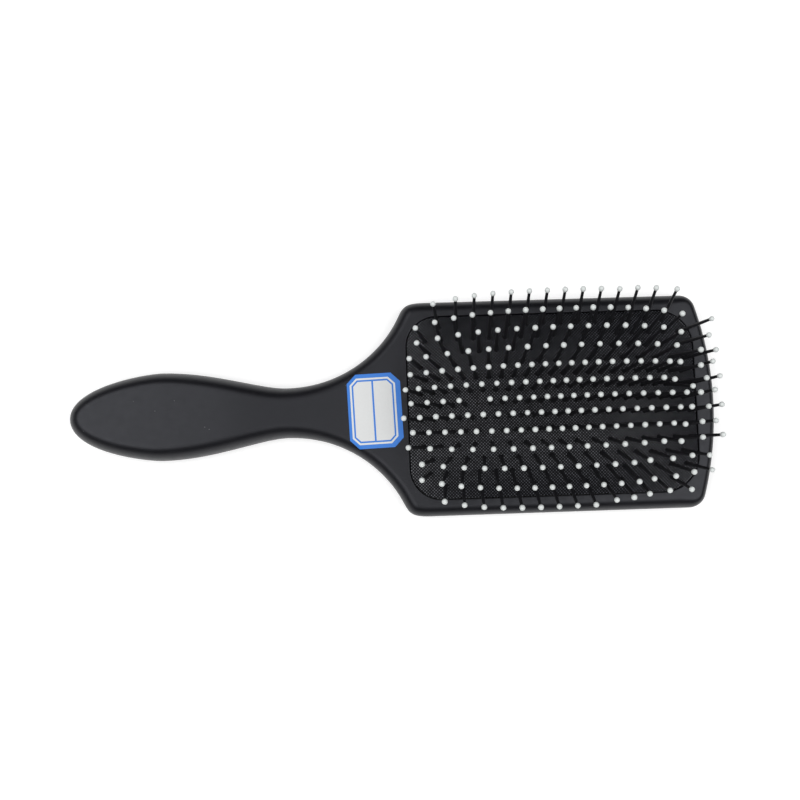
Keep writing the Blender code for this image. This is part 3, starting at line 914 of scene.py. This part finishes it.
def label_mesh(settings, edge_round):
    """A paper octagon with its printed bands, laid on the neck."""
    width = settings.width / MM
    height = settings.height / MM
    chamfer = settings.chamfer / MM
    bm = bmesh.new()
    bmesh.ops.create_grid(bm, x_segments=1, y_segments=1, size=0.5)
    bmesh.ops.scale(bm, verts=bm.verts, vec=(width, height, 1.0))
    for side_x in (-1, 1):
        for side_y in (-1, 1):
            corner = Vector((side_x * (width / 2 - chamfer), side_y * height / 2, 0.0))
            geometry = bm.verts[:] + bm.edges[:] + bm.faces[:]
            bmesh.ops.bisect_plane(
                bm, geom=geometry, plane_co=corner, plane_no=(side_x, side_y, 0.0), clear_outer=True
            )
    field = bm.faces[:][0]
    for band, (thickness, slot) in enumerate(LABEL_BANDS):
        made = bmesh.ops.inset_region(
            bm, faces=[field], thickness=thickness, use_boundary=True, use_even_offset=True
        )
        for face in made["faces"]:
            face.material_index = slot
        if band == 0:
            bmesh.ops.translate(bm, verts=field.verts[:], vec=(LABEL_PRINT_SHIFT, 0.0, 0.0))
    field.material_index = WHITE_PAPER
    left = min(vert.co.x for vert in field.verts)
    right = max(vert.co.x for vert in field.verts)
    line = left + LABEL_DIVIDER_PLACE * (right - left)
    for place in (line - LABEL_DIVIDER_WIDTH / 2, line + LABEL_DIVIDER_WIDTH / 2):
        white = [face for face in bm.faces if face.material_index == WHITE_PAPER]
        corners = {vert for face in white for vert in face.verts}
        sides = {edge for face in white for edge in face.edges}
        parts = list(corners | sides) + white
        bmesh.ops.bisect_plane(bm, geom=parts, plane_co=(place, 0, 0), plane_no=(1, 0, 0))
    for face in bm.faces:
        offset = abs(face.calc_center_median().x - line)
        if face.material_index == WHITE_PAPER and offset < LABEL_DIVIDER_WIDTH / 2:
            face.material_index = BLUE_INK
    for axis, length in (("x", width), ("y", height)):
        count = int(length / LABEL_CELL)
        cut_across(bm, axis, [length * ((i + 0.5) / count - 0.5) for i in range(count)])
    turn = Matrix.Rotation(settings.turn, 4, "Z")
    bmesh.ops.transform(bm, verts=bm.verts, matrix=Matrix.Translation((*LABEL_CENTRE, 0.0)) @ turn)
    outline = body_outline()
    for vert in bm.verts:
        vert.co.z = body_surface(vert.co.x, vert.co.y, outline, edge_round) + LABEL_LIFT
    bmesh.ops.triangulate(bm, faces=bm.faces)
    for face in bm.faces:
        face.normal_update()
        if face.normal.z < 0.0:
            face.normal_flip()
    lifted = bmesh.ops.extrude_face_region(bm, geom=bm.faces[:])["geom"]
    raised = [item for item in lifted if isinstance(item, bmesh.types.BMVert)]
    bmesh.ops.translate(bm, verts=raised, vec=(0.0, 0.0, settings.thickness / MM))
    bmesh.ops.recalc_face_normals(bm, faces=bm.faces)
    return bm


class BRUSH_OT_label(bpy.types.Operator):
    """Blank paper label with a blue border, stuck on the neck"""

    bl_idname = "brush.label"
    bl_label = "Label"

    def execute(self, context):
        settings = context.scene.brush_label
        bm = label_mesh(settings, context.scene.brush_body.edge_round / MM)
        papers = [
            paper_material("label_blue_ink", settings.ink, 0.5),
            paper_material("label_cream_edge", CREAM_COLOUR, 0.6),
            paper_material("label_white_paper", WHITE_COLOUR, 0.6),
        ]
        piece = finish_mesh("paper_label", bm, papers)
        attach(piece, "brush_body")
        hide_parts("neck_label")
        return {"FINISHED"}


# ------------------------------------------------------------------ studio


def softbox(name, centre, size, radiance):
    """A rectangular light that faces straight down; its power follows from its brightness and area."""
    light = bpy.data.lights.new(name, "AREA")
    light.shape = "RECTANGLE"
    light.size = size[0]
    light.size_y = size[1]
    light.energy = radiance * math.pi * size[0] * size[1]
    obj = bpy.data.objects.new(name, light)
    obj.location = centre
    obj.visible_camera = False
    bpy.context.scene.collection.objects.link(obj)


def studio_camera(lens):
    camera = bpy.data.cameras.new("studio_camera")
    camera.lens = lens
    camera.sensor_width = SENSOR_WIDTH
    obj = bpy.data.objects.new("studio_camera", camera)
    eye = Vector(CAMERA_EYE) * MM
    target = Vector(CAMERA_TARGET) * MM
    back = (eye - target).normalized()
    right = Vector(CAMERA_UP).cross(back).normalized()
    up = back.cross(right)
    turn = Matrix((right, up, back)).transposed().to_4x4()
    obj.matrix_world = Matrix.Translation(eye) @ turn
    bpy.context.scene.collection.objects.link(obj)
    bpy.context.scene.camera = obj


class BRUSH_OT_studio(bpy.types.Operator):
    """Pale floor, two overhead softboxes and the camera"""

    bl_idname = "brush.studio"
    bl_label = "Studio"

    def execute(self, context):
        settings = context.scene.brush_studio
        scene = context.scene
        scene.view_settings.view_transform = "Standard"
        bm = bmesh.new()
        bmesh.ops.create_grid(bm, x_segments=1, y_segments=1, size=FLOOR_HALF)
        bmesh.ops.translate(bm, verts=bm.verts, vec=(0.0, 0.0, FLOOR_Z))
        surface = Surface("studio_floor", settings.floor_colour, 0.8, Emission_Color=(1.0, 1.0, 1.0, 1.0))
        paint = surface.finish(Emission_Strength=settings.floor_glow, Specular_IOR_Level=0.1)
        finish_mesh("studio_floor", bm, [paint])
        for name, (centre, size) in SOFTBOXES.items():
            softbox(name, centre, size, settings.softbox_radiance)
        world = bpy.data.worlds.new("studio_world")
        world.use_nodes = True
        world.node_tree.nodes["Background"].inputs["Color"].default_value = WORLD_COLOUR
        scene.world = world
        studio_camera(settings.lens)
        return {"FINISHED"}


# ------------------------------------------------------------------ panel and registration


class BRUSH_PT_pieces(bpy.types.Panel):
    bl_label = "Paddle Hair Brush"
    bl_idname = "BRUSH_PT_pieces"
    bl_space_type = "VIEW_3D"
    bl_region_type = "UI"
    bl_category = "Brush"

    def draw(self, context):
        column = self.layout.column(align=True)
        for operator in OPERATORS:
            column.operator(operator.bl_idname)
        for name, group in SETTINGS.items():
            box = self.layout.box()
            for prop in group.__annotations__:
                box.prop(getattr(context.scene, name), prop)


OPERATORS = (
    BRUSH_OT_body_front,
    BRUSH_OT_body_back,
    BRUSH_OT_cushion,
    BRUSH_OT_frame,
    BRUSH_OT_pins,
    BRUSH_OT_label,
    BRUSH_OT_studio,
)
SETTINGS = {
    "brush_body": BodySettings,
    "brush_cushion": CushionSettings,
    "brush_pins": PinSettings,
    "brush_label": LabelSettings,
    "brush_studio": StudioSettings,
}


def register():
    for name, group in SETTINGS.items():
        bpy.utils.register_class(group)
        setattr(bpy.types.Scene, name, PointerProperty(type=group))
    for cls in (*OPERATORS, BRUSH_PT_pieces):
        bpy.utils.register_class(cls)


def unregister():
    for cls in reversed((*OPERATORS, BRUSH_PT_pieces)):
        bpy.utils.unregister_class(cls)
    for name, group in SETTINGS.items():
        delattr(bpy.types.Scene, name)
        bpy.utils.unregister_class(group)


def main():
    register()
    bpy.ops.brush.body_front()
    bpy.ops.brush.body_back()
    bpy.ops.brush.cushion()
    bpy.ops.brush.frame()
    bpy.ops.brush.pins()
    bpy.ops.brush.label()
    bpy.ops.brush.studio()


if __name__ == "__main__":
    main()
